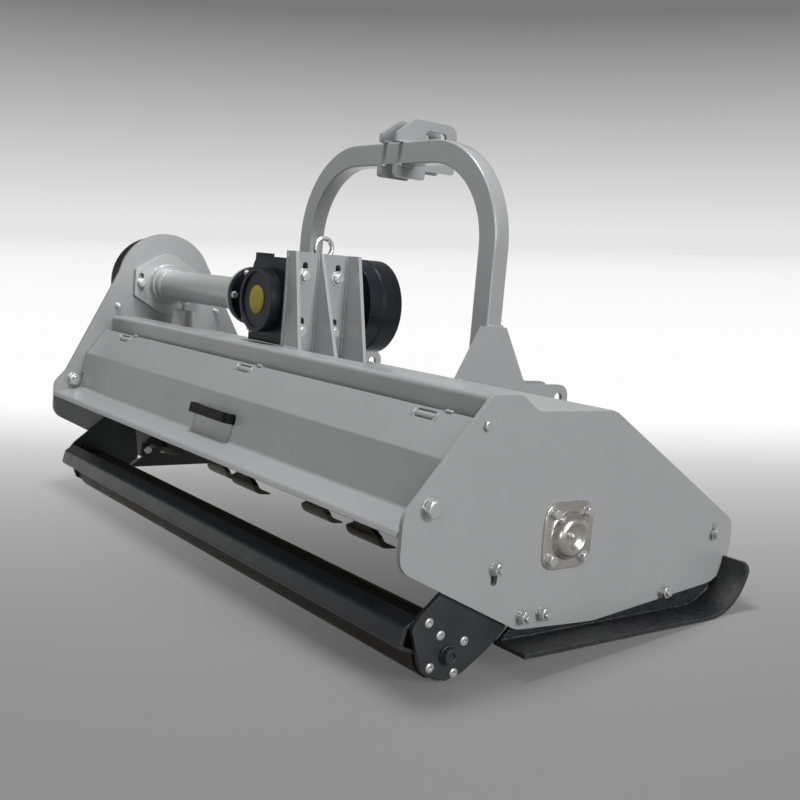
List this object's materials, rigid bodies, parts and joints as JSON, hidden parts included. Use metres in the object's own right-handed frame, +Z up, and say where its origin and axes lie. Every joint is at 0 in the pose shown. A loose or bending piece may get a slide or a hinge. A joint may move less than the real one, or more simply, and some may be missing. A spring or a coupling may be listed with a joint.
{
  "type": "flail mower",
  "caption": "Tractor-mounted flail mower: belt-driven hammer rotor under a folded deck, hinged rear hood, three-point hitch hoop, side skids and rear roller.",
  "frame": {"origin": "floor level under the middle of the parked machine's box", "axes": "+X to the right-hand end along the rotor, +Y forward to the tractor, +Z up"},
  "size_m": [1.593, 0.7859, 0.9206],
  "materials": {
    "grey_paint": "satin",
    "black_paint": "semi-gloss",
    "black_plastic": "matte",
    "belt_rubber": "matte",
    "worn_roller": "worn",
    "forged_hammer": "forged",
    "zinc_steel": "zinc plated",
    "bare_steel": "machined",
    "rotor_paint": "matte"
  },
  "bodies": {
    "frame": {"right_side_plate": "grey_paint", "left_side_plate": "grey_paint", "deck_shell": "grey_paint", "rear_beam": "grey_paint", "hood_hinges": "bare_steel", "flap_rod": "zinc_steel", "hitch_hoop": "grey_paint", "right_hitch_gusset": "grey_paint", "left_hitch_gusset": "grey_paint", "top_link_bracket": "grey_paint", "gearbox_housing": "black_paint", "gearbox_bearings": "bare_steel", "gearbox_cover": "black_paint", "gearbox_bracket": "grey_paint", "lifting_eye": "zinc_steel", "pto_guard": "black_plastic", "drive_tube": "grey_paint", "lay_bearing": "bare_steel", "drive_belts": "belt_rubber", "belt_cover": "black_paint", "tension_jack": "grey_paint", "right_bearing": "bare_steel", "left_bearing": "bare_steel", "bearing_cover": "bare_steel", "right_skid": "black_paint", "left_skid": "black_paint", "right_roller_bracket": "black_paint", "left_roller_bracket": "black_paint", "roller_bearings": "bare_steel", "scraper_bar": "black_paint", "frame_bolts": "zinc_steel", "bearing_bolts": "zinc_steel", "gearbox_bolts": "zinc_steel", "roller_bolts": "zinc_steel"},
    "hood": {"rear_hood": "grey_paint", "hood_handle": "black_paint"},
    "rotor": {"rotor": "rotor_paint", "flail_bolts": "zinc_steel", "driven_pulley": "bare_steel"},
    "lay_drive": {"lay_shaft": "bare_steel", "drive_pulley": "bare_steel", "bevel_pinion": "bare_steel"},
    "input_drive": {"input_shaft": "bare_steel", "bevel_gear": "bare_steel"},
    "roller": {"roller": "worn_roller"},
    "flaps": {"front_flaps": "grey_paint"},
    "hammer_01": {"flail_01": "forged_hammer"},
    "hammer_02": {"flail_02": "forged_hammer"},
    "hammer_03": {"flail_03": "forged_hammer"},
    "hammer_04": {"flail_04": "forged_hammer"},
    "hammer_05": {"flail_05": "forged_hammer"},
    "hammer_06": {"flail_06": "forged_hammer"},
    "hammer_07": {"flail_07": "forged_hammer"},
    "hammer_08": {"flail_08": "forged_hammer"},
    "hammer_09": {"flail_09": "forged_hammer"},
    "hammer_10": {"flail_10": "forged_hammer"},
    "hammer_11": {"flail_11": "forged_hammer"},
    "hammer_12": {"flail_12": "forged_hammer"}
  },
  "joints": [
    {"name": "rotor_spin", "type": "hinge", "parent": "frame", "child": "rotor", "pos_m": [0.0065, -0.05333, 0.19737], "axis": [1, 0, 0], "continuous": true},
    {"name": "lay_spin", "type": "hinge", "parent": "frame", "child": "lay_drive", "pos_m": [0.0065, -0.08484, 0.51989], "axis": [1, 0, 0], "continuous": true},
    {"name": "input_spin", "type": "hinge", "parent": "frame", "child": "input_drive", "pos_m": [-0.0435, -0.02802, 0.51537], "axis": [0, 0.9968, -0.0794], "continuous": true},
    {"name": "roller_roll", "type": "hinge", "parent": "frame", "child": "roller", "pos_m": [0.0065, -0.29402, 0.047], "axis": [1, 0, 0], "continuous": true},
    {"name": "hood_open", "type": "hinge", "parent": "frame", "child": "hood", "pos_m": [0.0065, -0.25678, 0.39322], "axis": [-1, 0, 0], "range_deg": [0, 70]},
    {"name": "flaps_swing", "type": "hinge", "parent": "frame", "child": "flaps", "pos_m": [0.0065, 0.33414, 0.13744], "axis": [1, 0, 0], "range_deg": [-70, 45]},
    {"name": "swing_01", "type": "hinge", "parent": "rotor", "child": "hammer_01", "pos_m": [-0.64525, -0.14008, 0.16674], "axis": [1, 0, 0], "range_deg": [-195.75, 50.25]},
    {"name": "swing_02", "type": "hinge", "parent": "rotor", "child": "hammer_02", "pos_m": [-0.52675, -0.0227, 0.11063], "axis": [1, 0, 0], "range_deg": [-105.75, 140.25]},
    {"name": "swing_03", "type": "hinge", "parent": "rotor", "child": "hammer_03", "pos_m": [-0.40825, 0.03342, 0.22801], "axis": [1, 0, 0], "range_deg": [-15.75, 230.25]},
    {"name": "swing_04", "type": "hinge", "parent": "rotor", "child": "hammer_04", "pos_m": [-0.28975, -0.08396, 0.28413], "axis": [1, 0, 0], "range_deg": [0, 246]},
    {"name": "swing_05", "type": "hinge", "parent": "rotor", "child": "hammer_05", "pos_m": [-0.17125, -0.14008, 0.16674], "axis": [1, 0, 0], "range_deg": [-195.75, 50.25]},
    {"name": "swing_06", "type": "hinge", "parent": "rotor", "child": "hammer_06", "pos_m": [-0.05275, -0.0227, 0.11063], "axis": [1, 0, 0], "range_deg": [-105.75, 140.25]},
    {"name": "swing_07", "type": "hinge", "parent": "rotor", "child": "hammer_07", "pos_m": [0.06575, 0.03342, 0.22801], "axis": [1, 0, 0], "range_deg": [-15.75, 230.25]},
    {"name": "swing_08", "type": "hinge", "parent": "rotor", "child": "hammer_08", "pos_m": [0.18425, -0.08396, 0.28413], "axis": [1, 0, 0], "range_deg": [0, 246]},
    {"name": "swing_09", "type": "hinge", "parent": "rotor", "child": "hammer_09", "pos_m": [0.30275, -0.14008, 0.16674], "axis": [1, 0, 0], "range_deg": [-195.75, 50.25]},
    {"name": "swing_10", "type": "hinge", "parent": "rotor", "child": "hammer_10", "pos_m": [0.42125, -0.0227, 0.11063], "axis": [1, 0, 0], "range_deg": [-105.75, 140.25]},
    {"name": "swing_11", "type": "hinge", "parent": "rotor", "child": "hammer_11", "pos_m": [0.53975, 0.03342, 0.22801], "axis": [1, 0, 0], "range_deg": [-15.75, 230.25]},
    {"name": "swing_12", "type": "hinge", "parent": "rotor", "child": "hammer_12", "pos_m": [0.65825, -0.08396, 0.28413], "axis": [1, 0, 0], "range_deg": [0, 246]}
  ],
  "couplings": [
    {"joint": "lay_spin", "follows": "rotor_spin", "ratio": 0.72222},
    {"joint": "input_spin", "follows": "rotor_spin", "ratio": 0.24074}
  ]
}
